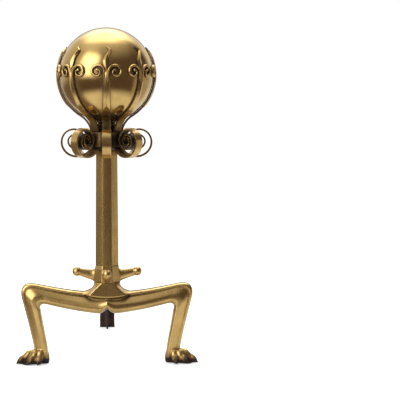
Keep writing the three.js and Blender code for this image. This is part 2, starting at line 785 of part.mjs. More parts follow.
const footWasher = () =>
  turned([
    [rodRadius + FIT, washerTop - washerThickness], [washerRadius, washerTop - washerThickness],
    [washerRadius, washerTop], [rodRadius + FIT, washerTop],
    [rodRadius + FIT, washerTop - washerThickness],
  ]);

function footNut() {
  const corner = nutAcrossFlats / 2 / Math.cos(Math.PI / 6);
  return cut(
    rod(corner, nutTop - nutThickness, nutTop, 6),
    rod(rodRadius + FIT, nutTop - nutThickness - 1, nutTop + 1),
  );
}

// ---- Assembly ----

const metal = (color, roughness) =>
  new THREE.MeshStandardMaterial({ color, roughness, metalness: 1, flatShading: true });
const polishedBrass = metal(0xd0a550, 0.2);
const castBrass = metal(0xb98f46, 0.32);
const agedBrass = metal(0x8a6a38, 0.42);
const castIron = metal(0x2c2321, 0.85);
const steel = metal(0x6c6862, 0.5);

const andiron = new THREE.Group();

function add(name, geometry, material, height = 0, turn = 0) {
  const mesh = new THREE.Mesh(geometry, material);
  mesh.name = name;
  mesh.position.z = height;
  mesh.rotation.z = turn;
  andiron.add(mesh);
}

add("leg_frame", legFrame(), castBrass);
add("arm_boss", armBoss(), castBrass);
add("shaft", shaft(), castBrass);
add("neck_core", neckCore(), agedBrass);
add("collar_band", collarBand(), agedBrass);
add("ball_seat", ballSeat(), castBrass);
add("ball_bush", ballBush(), agedBrass);
add("ball", ball(), polishedBrass, ballCentre);

const strap = join(strapBody(), volute(1), volute(-1));
for (let i = 0; i < SIDES; i += 1) {
  add(`strap_${i + 1}`, strap, agedBrass, ballCentre, (2 * Math.PI * i) / SIDES);
}

add("billet_bar", billetBar(), castIron);
add("tie_rod", tieRod(), steel);
add("foot_washer", footWasher(), steel);
add("foot_nut", footNut(), steel);

// The origin is on the floor, under the middle of the whole andiron
andiron.updateMatrixWorld(true);
const bounds = new THREE.Box3().setFromObject(andiron, true);
const middle = bounds.getCenter(new THREE.Vector3());
andiron.position.set(-middle.x, -middle.y, -bounds.min.z);

export default andiron;
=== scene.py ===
"""Looks of a ball-top brass andiron with forged straps, paw feet and an iron billet bar.

The pieces are modelled in millimetres round the column's axis, with heights from the floor and
the front towards -Y. Each one is then put where the frame has its node, in metres.
"""

import math

import bmesh
import bpy
import numpy as np
from mathutils import Matrix, Vector


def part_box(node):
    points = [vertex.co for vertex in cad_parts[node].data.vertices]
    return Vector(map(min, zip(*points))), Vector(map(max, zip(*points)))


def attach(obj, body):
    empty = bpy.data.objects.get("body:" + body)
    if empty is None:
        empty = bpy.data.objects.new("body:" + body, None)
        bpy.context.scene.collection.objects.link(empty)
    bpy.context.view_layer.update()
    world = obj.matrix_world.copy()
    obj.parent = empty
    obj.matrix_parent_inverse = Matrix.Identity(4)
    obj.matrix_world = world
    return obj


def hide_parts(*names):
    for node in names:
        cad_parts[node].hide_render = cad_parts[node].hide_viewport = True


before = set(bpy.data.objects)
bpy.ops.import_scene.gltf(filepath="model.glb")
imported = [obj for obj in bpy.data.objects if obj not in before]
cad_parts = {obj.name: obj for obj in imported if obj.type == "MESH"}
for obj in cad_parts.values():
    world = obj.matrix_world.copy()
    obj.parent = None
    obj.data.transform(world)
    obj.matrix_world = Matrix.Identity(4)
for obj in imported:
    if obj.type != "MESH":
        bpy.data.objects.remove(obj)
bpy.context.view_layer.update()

MM = 0.001
SIDES = 8  # the column is octagonal, with one strap on each side
CORNER = 1 / math.cos(math.pi / SIDES)  # half across corners for each unit half across flats


# ---- Sizes and places read from the frame, in millimetres ----

def node_box(node):
    low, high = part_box(node)
    return Vector(low) / MM, Vector(high) / MM


ROD_LOW, ROD_HIGH = node_box("tie_rod")
BALL_LOW, BALL_HIGH = node_box("ball")
SHAFT_LOW, SHAFT_HIGH = node_box("shaft")
BOSS_LOW, BOSS_HIGH = node_box("arm_boss")
NECK_LOW, NECK_HIGH = node_box("neck_core")
SEAT_LOW, SEAT_HIGH = node_box("ball_seat")
COLLAR_LOW, COLLAR_HIGH = node_box("collar_band")

AXIS = Vector(((ROD_LOW.x + ROD_HIGH.x) / 2, (ROD_LOW.y + ROD_HIGH.y) / 2, 0))
BALL_RADIUS = (BALL_HIGH.x - BALL_LOW.x) / 2
BALL_CENTRE = BALL_HIGH.z - BALL_RADIUS
FIT = 0.3  # between pieces that lie on each other
CLOSE_FIT = 0.04  # where a joint hardly shows


# ---- Mesh building ----

BEVEL_ANGLE = 25


def lerp(start, end, share):
    return start + (end - start) * share


def smoothstep(value, low, high):
    share = min(1.0, max(0.0, (value - low) / (high - low)))
    return share * share * (3 - 2 * share)


def shares(count):
    return [i / count for i in range(count + 1)]


def loft(sections):
    """Closed shell through a row of sections with as many points each."""
    count = len(sections[0])
    points = [tuple(point) for section in sections for point in section]
    faces = []
    for row in range(len(sections) - 1):
        for i in range(count):
            here, following = row * count + i, row * count + (i + 1) % count
            faces.append((here, following, following + count, here + count))
    faces.append(tuple(reversed(range(count))))
    faces.append(tuple(range(len(points) - count, len(points))))
    return points, faces


def lathe(profile, segments, phase=0.0):
    """Closed shell turned about Z from (radius, height) pairs that end on the axis or join up."""
    closed = profile[0] == profile[-1] and profile[0][0] > 0
    rows = profile[:-1] if closed else profile
    points, rings = [], []
    for radius, height in rows:
        if radius <= 0:
            rings.append([len(points)] * segments)
            points.append((0, 0, height))
            continue
        rings.append([len(points) + i for i in range(segments)])
        for i in range(segments):
            angle = phase + 2 * math.pi * i / segments
            points.append((radius * math.cos(angle), radius * math.sin(angle), height))
    if closed:
        rings.append(rings[0])
    faces = []
    for lower, upper in zip(rings, rings[1:]):
        for i in range(segments):
            j = (i + 1) % segments
            corners = [lower[i], lower[j], upper[j], upper[i]]
            face = [c for k, c in enumerate(corners) if c not in corners[:k]]
            faces.append(tuple(face))
    return points, faces


def octagonal(profile):
    """The same with eight flat sides, one of them to the front; radii are half across flats."""
    return lathe([(radius * CORNER, height) for radius, height in profile], SIDES, math.pi / SIDES)


def moved(shell, matrix):
    points, faces = shell
    return [tuple(matrix @ Vector(point)) for point in points], faces


def turn_z(degrees):
    return Matrix.Rotation(math.radians(degrees), 4, "Z")


def make_object(name, shells):
    """One mesh object, still in millimetres, from closed shells."""
    shape = bmesh.new()
    for points, faces in shells:
        verts = [shape.verts.new(point) for point in points]
        for face in faces:
            shape.faces.new([verts[i] for i in face])
    bmesh.ops.recalc_face_normals(shape, faces=shape.faces)
    mesh = bpy.data.meshes.new(name)
    shape.to_mesh(mesh)
    shape.free()
    obj = bpy.data.objects.new(name, mesh)
    bpy.context.scene.collection.objects.link(obj)
    return obj


def apply_modifiers(obj):
    depsgraph = bpy.context.evaluated_depsgraph_get()
    mesh = bpy.data.meshes.new_from_object(obj.evaluated_get(depsgraph))
    obj.modifiers.clear()
    obj.data = mesh
    return obj


def bevelled(obj, width):
    """Rounds the edges that turn by more than the bevel's angle."""
    bevel = obj.modifiers.new("bevel", "BEVEL")
    bevel.width = width
    bevel.segments = 2
    bevel.limit_method = "ANGLE"
    bevel.angle_limit = math.radians(BEVEL_ANGLE)
    return apply_modifiers(obj)


def united(obj, others):
    """Joins other closed objects to this one, as one closed surface."""
    for other in others:
        join = obj.modifiers.new("join", "BOOLEAN")
        join.operation = "UNION"
        join.solver = "EXACT"
        join.object = other
    apply_modifiers(obj)
    for other in others:
        bpy.data.objects.remove(other)


def cast(obj, voxel, smoothing):
    """Melts the shells of an object into one smooth cast body."""
    remesh = obj.modifiers.new("remesh", "REMESH")
    remesh.mode = "VOXEL"
    remesh.voxel_size = voxel
    smooth = obj.modifiers.new("smooth", "SMOOTH")
    smooth.factor = 0.5
    smooth.iterations = smoothing
    return apply_modifiers(obj)


def place(obj, node, material, turn=0.0, sharp=35):
    """Moves the mesh to its place in the frame and lets it stand for its node."""
    mesh = obj.data
    mesh.transform(Matrix.Scale(MM, 4) @ Matrix.Translation(AXIS) @ turn_z(turn))
    mesh.update()
    mesh.shade_smooth()
    mesh.set_sharp_from_angle(angle=math.radians(sharp))
    mesh.materials.clear()
    mesh.materials.append(material)
    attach(obj, "root")
    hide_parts(node)


# ---- Materials ----

def new_material(name):
    material = bpy.data.materials.new(name)
    material.use_nodes = True
    tree = material.node_tree
    return material, tree, tree.nodes["Principled BSDF"]


def add_node(tree, kind, inputs=None, **settings):
    node = tree.nodes.new(kind)
    for key, value in settings.items():
        setattr(node, key, value)
    for key, value in (inputs or {}).items():
        if isinstance(value, bpy.types.NodeSocket):
            tree.links.new(value, node.inputs[key])
        else:
            node.inputs[key].default_value = value
    return node


def math_node(tree, operation, first, second, clamp=False):
    return add_node(
        tree, "ShaderNodeMath", {0: first, 1: second}, operation=operation, use_clamp=clamp
    ).outputs[0]


def noise(tree, position, scale, detail, roughness):
    return add_node(
        tree, "ShaderNodeTexNoise",
        {"Vector": position, "Scale": scale, "Detail": detail, "Roughness": roughness},
    ).outputs["Fac"]


def remap(tree, value, low, high, to_low=0.0, to_high=1.0):
    return add_node(
        tree, "ShaderNodeMapRange", {0: value, 1: low, 2: high, 3: to_low, 4: to_high}
    ).outputs[0]


def mix_colour(tree, share, first, second):
    mix = add_node(tree, "ShaderNodeMix", data_type="RGBA")
    for socket, value in ((mix.inputs[0], share), (mix.inputs[6], first), (mix.inputs[7], second)):
        if isinstance(value, bpy.types.NodeSocket):
            tree.links.new(value, socket)
        else:
            socket.default_value = value
    return mix.outputs[2]


CLEAN_BRASS = (0.62, 0.427, 0.158, 1)
WARM_BRASS = (0.53, 0.35, 0.128, 1)
# brown and black darken brass for real tarnish and also for painted shade
BROWN_TARNISH_AND_SHADE = (0.1, 0.05, 0.022, 1)
BLACK_TARNISH_AND_SHADE = (0.02, 0.013, 0.009, 1)
TARNISH_ROUGHNESS = 0.45
PATCH_SCALE = 34.0
SPECK_SCALE = 260.0
STREAK_SCALE = (170, 170, 3)  # across, deep and along the height, so that they run upright
BRUSH_SCALE = (1500, 1500, 60)
BRASS_RELIEF = 0.0004
FLOOR_PATINA_AND_SHADE_LOW, FLOOR_PATINA_AND_SHADE_HIGH = 0.003, 0.024  # heights over which the darkening near the floor, partly patina and partly painted shade, thins out
BLACK_SCALE = (0.016, 0.011, 0.01, 1)
RUST = (0.075, 0.032, 0.02, 1)
IRON_RELIEF = 0.0012
STEEL = (0.3, 0.28, 0.26, 1)
STEEL_STAIN = (0.1, 0.065, 0.045, 1)
STEEL_RELIEF = 0.0005


def brass(name, tarnish, roughness, crevice, grain, reach=0.014, underside=0.0, brushed=0.0,
          foot=0.0, streaks=0.0):
    """Brass darkened through brown to black: tarnish in patches and streaks, painted shade on
    undersides, and real tarnish together with painted shade in crevices and near the floor.

    Tarnish and streaks are shares of tarnish; crevice, underside and foot are shares of the same
    darkening, painted shade in part; reach is how far, in metres, the shelter of a crevice is felt;
    grain and brushed are the strengths of fine relief.
    """
    material, tree, surface = new_material(name)
    position = add_node(tree, "ShaderNodeTexCoord").outputs["Object"]
    patches = noise(tree, position, PATCH_SCALE, 5.0, 0.6)
    specks = noise(tree, position, SPECK_SCALE, 3.0, 0.6)
    # painted shade from ambient occlusion: darker in crevices and where parts meet, partly also the
    # tarnish that gathers in hollows
    shelter = add_node(
        tree, "ShaderNodeAmbientOcclusion", {"Distance": reach}, samples=8
    ).outputs["AO"]
    crevice_tarnish_and_shade = remap(tree, shelter, 0.25, 0.95, crevice, 0.0)
    spread = remap(tree, patches, 0.3, 0.75, tarnish * 0.3, tarnish * 1.7)
    share = math_node(tree, "ADD", crevice_tarnish_and_shade, spread)
    # painted shade: faces that turn downwards are darkened by the share given as underside
    if underside:
        geometry = add_node(tree, "ShaderNodeNewGeometry")
        facing = add_node(tree, "ShaderNodeSeparateXYZ", {0: geometry.outputs["Normal"]})
        below = remap(tree, facing.outputs["Z"], 0.0, -0.6, 0.0, underside)
        share = math_node(tree, "ADD", share, below)
    # darker towards the floor: partly patina, partly painted shade where the piece meets the floor
    if foot:
        height = add_node(tree, "ShaderNodeSeparateXYZ", {0: position}).outputs["Z"]
        floor_patina_and_shade = remap(tree, height, FLOOR_PATINA_AND_SHADE_LOW, FLOOR_PATINA_AND_SHADE_HIGH, foot, 0.0)
        share = math_node(tree, "ADD", share, floor_patina_and_shade)
    if streaks:
        drawn = add_node(
            tree, "ShaderNodeMapping", {"Vector": position, "Scale": STREAK_SCALE}
        ).outputs[0]
        lines = noise(tree, drawn, 1.0, 1.0, 0.4)
        share = math_node(
            tree, "ADD", share, remap(tree, lines, 0.35, 0.65, -streaks / 2, streaks)
        )
    share = math_node(
        tree, "ADD", share, remap(tree, specks, 0.3, 0.7, -grain, grain), clamp=True
    )
    clean = mix_colour(tree, remap(tree, patches, 0.35, 0.65), CLEAN_BRASS, WARM_BRASS)
    # tarnish and painted shade together darken the clean brass, first to brown, then to black
    brown = mix_colour(tree, remap(tree, share, 0.0, 0.75), clean, BROWN_TARNISH_AND_SHADE)
    colour = mix_colour(tree, remap(tree, share, 0.7, 1.0), brown, BLACK_TARNISH_AND_SHADE)
    tree.links.new(colour, surface.inputs["Base Color"])
    tree.links.new(remap(tree, share, 0.0, 1.0, 1.0, 0.6), surface.inputs["Metallic"])
    rough = remap(tree, share, 0.0, 1.0, roughness, TARNISH_ROUGHNESS)
    fine = remap(tree, specks, 0.3, 0.7, -grain / 2, grain / 2)
    tree.links.new(math_node(tree, "ADD", rough, fine), surface.inputs["Roughness"])
    texture = specks
    if brushed:
        stretched = add_node(
            tree, "ShaderNodeMapping", {"Vector": position, "Scale": BRUSH_SCALE}
        ).outputs[0]
        texture = noise(tree, stretched, 1.0, 2.0, 0.5)
    bump = add_node(
        tree, "ShaderNodeBump",
        {"Height": texture, "Strength": max(brushed, grain), "Distance": BRASS_RELIEF},
    )
    tree.links.new(bump.outputs[0], surface.inputs["Normal"])
    return material


def rusty_iron(name):
    material, tree, surface = new_material(name)
    position = add_node(tree, "ShaderNodeTexCoord").outputs["Object"]
    scale = noise(tree, position, 60.0, 6.0, 0.65)
    pits = noise(tree, position, 420.0, 4.0, 0.6)
    colour = mix_colour(tree, remap(tree, scale, 0.42, 0.66), BLACK_SCALE, RUST)
    tree.links.new(colour, surface.inputs["Base Color"])
    tree.links.new(remap(tree, pits, 0.3, 0.7, 0.6, 0.95), surface.inputs["Roughness"])
    surface.inputs["Metallic"].default_value = 0.25
    height = math_node(tree, "ADD", scale, pits)
    bump = add_node(
        tree, "ShaderNodeBump", {"Height": height, "Strength": 0.6, "Distance": IRON_RELIEF}
    )
    tree.links.new(bump.outputs[0], surface.inputs["Normal"])
    return material


def dull_steel(name):
    material, tree, surface = new_material(name)
    position = add_node(tree, "ShaderNodeTexCoord").outputs["Object"]
    stain = noise(tree, position, 150.0, 5.0, 0.6)
    colour = mix_colour(tree, remap(tree, stain, 0.4, 0.65), STEEL, STEEL_STAIN)
    tree.links.new(colour, surface.inputs["Base Color"])
    tree.links.new(remap(tree, stain, 0.3, 0.7, 0.35, 0.7), surface.inputs["Roughness"])
    surface.inputs["Metallic"].default_value = 0.85
    bump = add_node(
        tree, "ShaderNodeBump", {"Height": stain, "Strength": 0.3, "Distance": STEEL_RELIEF}
    )
    tree.links.new(bump.outputs[0], surface.inputs["Normal"])
    return material


# crevice, underside and foot darken each brass with painted shade, in crevices and near the floor
# together with real tarnish
polished_brass = brass("polished_brass", 0.05, 0.13, crevice=1.0, grain=0.006, reach=0.012)
cast_brass = brass(
    "cast_brass", 0.05, 0.24, crevice=1.05, grain=0.014, reach=0.012, underside=0.2, foot=0.9
)
boss_brass = brass("boss_brass", 0.13, 0.24, crevice=1.1, grain=0.01)
shaft_brass = brass("shaft_brass", 0.09, 0.22, crevice=0.6, grain=0.008, brushed=0.02, streaks=0.12)
strap_brass = brass("strap_brass", 0.05, 0.22, crevice=1.15, grain=0.014, reach=0.02, brushed=0.02)
dark_brass = brass("dark_brass", 0.78, 0.3, crevice=0.8, grain=0.03)
iron = rusty_iron("rusty_iron")
steel = dull_steel("dull_steel")


# ---- Ball ----

BALL_WALL = 2.0
BALL_HOLE_RADIUS = 12.0
BALL_SEGMENTS, BALL_ROWS, BALL_INNER_ROWS = 144, 90, 36


def ball_shell():
    """Hollow ball with a round hole below for its bush."""
    def arc(radius, count):
        start = -math.acos(BALL_HOLE_RADIUS / radius)
        angles = [lerp(start, math.pi / 2, share) for share in shares(count)[:-1]]
        side = [(radius * math.cos(a), BALL_CENTRE + radius * math.sin(a)) for a in angles]
        return side + [(0, BALL_CENTRE + radius)]

    points, faces = lathe(arc(BALL_RADIUS, BALL_ROWS), BALL_SEGMENTS)
    inside = arc(BALL_RADIUS - BALL_WALL, BALL_INNER_ROWS)
    inner_points, inner_faces = lathe(inside, BALL_SEGMENTS)
    shift = len(points)
    faces += [tuple(i + shift for i in face) for face in inner_faces]
    for i in range(BALL_SEGMENTS):
        following = (i + 1) % BALL_SEGMENTS
        faces.append((i, following, shift + following, shift + i))
    return points + inner_points, faces


def make_ball():
    obj = make_object("ball_polished", [ball_shell()])
    place(obj, "ball", polished_brass)


# ---- Straps ----
# The front strap, from the ball's centre: its radius runs towards -Y and its width along X.

STRAP_THICKNESS = 3.5
STRAP_TOP_WIDTH = 9.5
STRAP_FOOT_WIDTH = 16.2
STRAP_TAPER_LENGTH = 130
STRAP_EDGE = 3.3  # height of its sides over its underside
STRAP_RIDGE = 5.2
STRAP_WEAR = 0.35  # rounding of its edges
RIDGE_STOP = (36, 47)  # degrees below the equator between which a pointed stop ends the ridge
BEND_RADIUS = 41.75
SCROLL_RADIUS = 28.5
SCROLL_STANDOFF = 30.2
EYE_BELOW_BEND = 9.5
NECK_RUN_BELOW_EYE = 7
SCROLL_TURNS = 2.75
SCROLL_SHRINK = 0.5  # of its radius in each turn
SCROLL_START = 60  # degrees before its lowest point
SCROLL_END_THICKNESS = 2.6
# Steps along each part of the strap's line
BALL_STEPS, BEND_STEPS, RUN_STEPS, TURN_STEPS, SCROLL_STEPS = 64, 26, 10, 14, 170

NECK_RADIUS = (NECK_HIGH.y - NECK_LOW.y) / 2
STRAP_ON_BALL = BALL_RADIUS + FIT + STRAP_THICKNESS / 2
STRAP_IN_NECK = NECK_RADIUS + FIT + STRAP_THICKNESS / 2
BEND_CENTRE = Vector((
    STRAP_IN_NECK + BEND_RADIUS,
    -math.sqrt((STRAP_ON_BALL + BEND_RADIUS) ** 2 - (STRAP_IN_NECK + BEND_RADIUS) ** 2),
))
SCROLL_EYE = Vector((STRAP_IN_NECK + SCROLL_STANDOFF, BEND_CENTRE.y - EYE_BELOW_BEND))


def arc_points(centre, radius, start, end, count):
    angles = [lerp(start, end, share) for share in shares(count)]
    return [centre + radius * Vector((math.cos(a), math.sin(a))) for a in angles]


def bezier(a, b, c, d, count):
    return [
        a * (1 - t) ** 3 + b * 3 * t * (1 - t) ** 2 + c * 3 * t * t * (1 - t) + d * t ** 3
        for t in shares(count)
    ]


def scroll_point(angle):
    radius = SCROLL_RADIUS * SCROLL_SHRINK ** (angle / (2 * math.pi))
    return SCROLL_EYE + radius * Vector((math.sin(angle), -math.cos(angle)))


def strap_line():
    """Middle line (radius, height) from the equator to the scroll's end, and how far each part goes."""
    bend_start = math.atan2(-BEND_CENTRE.y, BEND_CENTRE.x)
    on_ball = arc_points(Vector((0, 0)), STRAP_ON_BALL, 0, -bend_start, BALL_STEPS)
    bend = arc_points(BEND_CENTRE, BEND_RADIUS, math.pi - bend_start, math.pi, BEND_STEPS)
    run_end = Vector((STRAP_IN_NECK, SCROLL_EYE.y - NECK_RUN_BELOW_EYE))
    start = math.radians(-SCROLL_START)
    scroll_start = scroll_point(start)
    heading = (scroll_point(start + 0.01) - scroll_start).normalized()
    ease = (scroll_start - run_end).length / 3
    turn_out = bezier(
        run_end, run_end - Vector((0, ease)), scroll_start - heading * ease, scroll_start,
        TURN_STEPS,
    )
    sweep = 2 * math.pi * SCROLL_TURNS
    scroll = [scroll_point(lerp(start, sweep, share ** 1.25)) for share in shares(SCROLL_STEPS)]
    run = [bend[-1].lerp(run_end, share) for share in shares(RUN_STEPS)]
    line = on_ball + bend[1:] + run[1:] + turn_out[1:] + scroll[1:]
    return line, len(on_ball), len(line) - len(scroll)


def strip_section(middle, side, out, profile):
    """Section from (across, height) pairs over the middle of the strip's underside."""
    return [middle + side * across + out * height for across, height in profile]


def strap_profile(width, edge, ridge, stop):
    """Half the section mirrored: rounded lower edge, upright side, bevel up to the ridge.

    The stop runs from 0, full ridge, to 1, flat; in between a flat grows from the ridge outwards.
    """
    half = width / 2
    flat = half * stop
    height = lerp(ridge, edge, stop)
    right = [
        (half - STRAP_WEAR, 0), (half, STRAP_WEAR), (half, edge - STRAP_WEAR), (half - 0.4, edge),
        (max(flat, 0.3), height - 0.12 * (1 - stop)), (flat * 0.5 + 0.08, height),
    ]
    return [(-a, h) for a, h in reversed(right)] + right


def strap_body():
    """The ridged strap on the ball, then the flat strap through the neck and the scroll."""
    line, ridged_end, scroll_start = strap_line()
    sections = []
    travelled = 0.0
    for i, point in enumerate(line):
        before, after = line[max(i - 1, 0)], line[min(i + 1, len(line) - 1)]
        tangent = (after - before).normalized()
        travelled += (point - before).length if i else 0
        below = math.degrees(math.atan2(-point.y, point.x)) if i < ridged_end else 90
        stop = smoothstep(below, *RIDGE_STOP)
        width = lerp(STRAP_TOP_WIDTH, STRAP_FOOT_WIDTH, min(1, travelled / STRAP_TAPER_LENGTH))
        thickness = STRAP_THICKNESS
        if i > scroll_start:
            share = (i - scroll_start) / (len(line) - scroll_start)
            thickness = lerp(STRAP_THICKNESS, SCROLL_END_THICKNESS, share)
        edge = lerp(STRAP_EDGE, thickness, stop)
        out = Vector((0, tangent.y, tangent.x))
        middle = Vector((0, -point.x, point.y)) - out * (STRAP_THICKNESS / 2)
        profile = strap_profile(width, edge, lerp(STRAP_RIDGE, thickness, stop), stop)
        sections.append(strip_section(middle, Vector((1, 0, 0)), out, profile))
    return sections


def on_ball_strip(points, profile_at, lift=0.0):
    """Sections laid on the ball along points given as sideways, up and width."""
    radius = BALL_RADIUS + FIT + lift
    laid = [
        Vector((x, -math.sqrt(radius ** 2 - x ** 2 - z ** 2), z)) for x, z, _ in points
    ]
    sections = []
    for i, point in enumerate(laid):
        before, after = laid[max(i - 1, 0)], laid[min(i + 1, len(laid) - 1)]
        out = point.normalized()
        side = out.cross(after - before).normalized()
        profile = profile_at(i / (len(laid) - 1), points[i][2])
        sections.append(strip_section(point, side, out, profile))
    return sections


def catmull(points, count):
    """Smooth run through control points with as many steps between each two."""
    points = [np.array(point, float) for point in points]
    ends = [2 * points[0] - points[1]] + points + [2 * points[-1] - points[-2]]
    run = []
    for a, b, c, d in zip(ends, ends[1:], ends[2:], ends[3:]):
        for t in shares(count)[:-1]:
            run.append(0.5 * (
                2 * b + (c - a) * t + (2 * a - 5 * b + 4 * c - d) * t * t
                + (3 * b - a - 3 * c + d) * t ** 3
            ))
    return [tuple(point) for point in run] + [tuple(points[-1])]


# Flame tip, upwards from the strap: distance sideways, up from the equator, and width
FLAME = [
    (0.0, 0.0, 9.5), (0.0, 7.0, 4.6), (-1.3, 15.0, 7.6), (-1.6, 22.5, 9.8), (0.4, 29.5, 7.4),
    (4.2, 36.5, 5.6), (6.6, 41.0, 4.8), (6.2, 43.0, 4.2), (3.0, 46.2, 2.6), (0.4, 49.0, 0.5),
]
FLAME_END_EDGE, FLAME_END_RIDGE = 1.4, 2.0
FLAME_RIDGE = 4.4  # near its end; it grows to the strap's


def flame_sections():
    def profile(share, width):
        rise = min(1.0, 3 * share)
        edge = lerp(FLAME_END_EDGE, STRAP_EDGE, rise * share)
        ridge = lerp(FLAME_END_RIDGE, lerp(FLAME_RIDGE, STRAP_RIDGE, share), rise)
        return strap_profile(width, edge, ridge, 0.0)

    run = catmull(FLAME, 7)
    return on_ball_strip(list(reversed(run))[:-1], profile)


# Side volutes, beside each strap and up from its equator
VOLUTE_EYE = (16.0, 4.5)
VOLUTE_RADIUS = 12.7
VOLUTE_END_RADIUS = 3.2
VOLUTE_SWEEP = 440  # degrees
VOLUTE_WIDTH = 6.2
VOLUTE_END_WIDTH = 3.8
VOLUTE_HEIGHT = 4.9
VOLUTE_END_HEIGHT = 4.0
VOLUTE_LIFT = 0.25
VOLUTE_ROOT = 12  # how far below the equator it starts
VOLUTE_BEAD = [  # radius and height
    (0, 0), (2.8, 0), (2.8, 1.8), (2.4, 3.4), (1.5, 4.5), (0, 4.9),
]


def rounded_profile(width, height):
    """Half round, as high as given."""
    half = width / 2
    turns = [math.pi / 2 * share for share in shares(7)[:-1]]
    right = [(half * math.cos(turn), height * math.sin(turn)) for turn in turns]
    return [(-a, h) for a, h in reversed(right)] + right


def volute_sections(hand):
    """The volute to the right for hand 1, to the left for hand -1."""
    def profile(share, width):
        return rounded_profile(width, lerp(VOLUTE_HEIGHT, VOLUTE_END_HEIGHT, share))

    points = [(VOLUTE_EYE[0] - VOLUTE_RADIUS - 1, -VOLUTE_ROOT, VOLUTE_WIDTH * 0.8)]
    for share in shares(60):
        angle = math.pi - math.radians(VOLUTE_SWEEP) * share
        radius = lerp(VOLUTE_RADIUS, VOLUTE_END_RADIUS, share)
        points.append((
            VOLUTE_EYE[0] + radius * math.cos(angle),
            VOLUTE_EYE[1] + radius * math.sin(angle),
            lerp(VOLUTE_WIDTH, VOLUTE_END_WIDTH, share),
        ))
    handed = [(hand * x, z, width) for x, z, width in points]
    return on_ball_strip(handed, profile, VOLUTE_LIFT)


def volute_bead(hand):
    """The round bead that ends a volute in its eye."""
    turn = math.pi - math.radians(VOLUTE_SWEEP)
    across = hand * (VOLUTE_EYE[0] + VOLUTE_END_RADIUS * math.cos(turn))
    up = VOLUTE_EYE[1] + VOLUTE_END_RADIUS * math.sin(turn)
    radius = BALL_RADIUS + FIT + VOLUTE_LIFT
    middle = Vector((across, -math.sqrt(radius ** 2 - across ** 2 - up ** 2), up))
    stand = Matrix.Translation(middle) @ middle.to_track_quat("Z", "Y").to_matrix().to_4x4()
    return moved(lathe(VOLUTE_BEAD, 24), stand)


def make_straps():
    body = flame_sections() + strap_body()
    first = make_object("strap", [loft(body)])
    volutes = [make_object("volute", [loft(volute_sections(hand))]) for hand in (1, -1)]
    beads = [make_object("bead", [volute_bead(hand)]) for hand in (1, -1)]
    united(first, volutes + beads)
    first.data.transform(Matrix.Translation((0, 0, BALL_CENTRE)))
    for i in range(SIDES):
        strap = first.copy()
        strap.data = first.data.copy()
        strap.name = f"forged_strap_{i + 1}"
        bpy.context.scene.collection.objects.link(strap)
        place(strap, f"strap_{i + 1}", strap_brass, turn=i * 360 / SIDES, sharp=14)
    bpy.data.objects.remove(first)


# ---- Leg casting: bell, crosspiece, legs and paws ----
# Half of it as seen from the front, in x and z from the column axis and the floor

WAIST_HEIGHT = 150
WAIST_RADIUS = 23.7
CROSS_TOP_HEIGHT = 131.5
CROSS_TOP_RUN = 58
CROSS_BOTTOM_HEIGHT = 92.8
CROSS_BOTTOM_BEND = Vector((62, 97.5))
NOTCH_APEX_HEIGHT = 103
NOTCH_HALF_WIDTH = 16
NOTCH_TIP = 0.12  # share of its half width over which its apex is straight
KNEE_OUTER = Vector((163, 153.5))
KNEE_OUTER_RADIUS = 22.5
KNEE_INNER = Vector((123.4, 112.6))
KNEE_INNER_RADIUS = 9
ANKLE_HEIGHT = 31
ANKLE_OUTER = 133
ANKLE_INNER = 108.4
SHIN_BEND = Vector((138.5, 62))
HEEL_INNER = 106.3
HEEL_OUTER = 130
CROSS_DEPTH, KNEE_DEPTH, ANKLE_DEPTH = 55, 33, 24
BAR_POCKET_TOP = 121.3
BAR_POCKET_HALF = 15.6
BAR_POCKET_FRONT = -9.3
BAR_POCKET_CUT_FROM = 60  # well under the crosspiece
# Steps along each part of the casting's outline
NOTCH_STEPS, CROSS_STEPS, KNEE_STEPS, SHIN_STEPS, HEEL_STEPS = 16, 70, 30, 50, 10
LEG_VOXEL, LEG_SMOOTHING = 0.8, 9
LEG_CUT_REACH = 300
CUT_THICKNESS = 50


def quadratic(a, b, c):
    return lambda t: a * (1 - t) ** 2 + b * 2 * t * (1 - t) + c * t * t


def rounding(start, corner, end, radius):
    """Where the curve that rounds a corner starts, bends to and ends."""
    inward = (start - corner).normalized()
    onward = (end - corner).normalized()
    setback = radius / math.tan(inward.angle(onward) / 2)
    return corner + inward * setback, corner, corner + onward * setback


def height_at(curve, x):
    """Height at x of a curve that runs steadily outwards."""
    low, high = 0.0, 1.0
    for _ in range(30):
        middle = (low + high) / 2
        if curve(middle).x < x:
            low = middle
        else:
            high = middle
    return curve(low).y


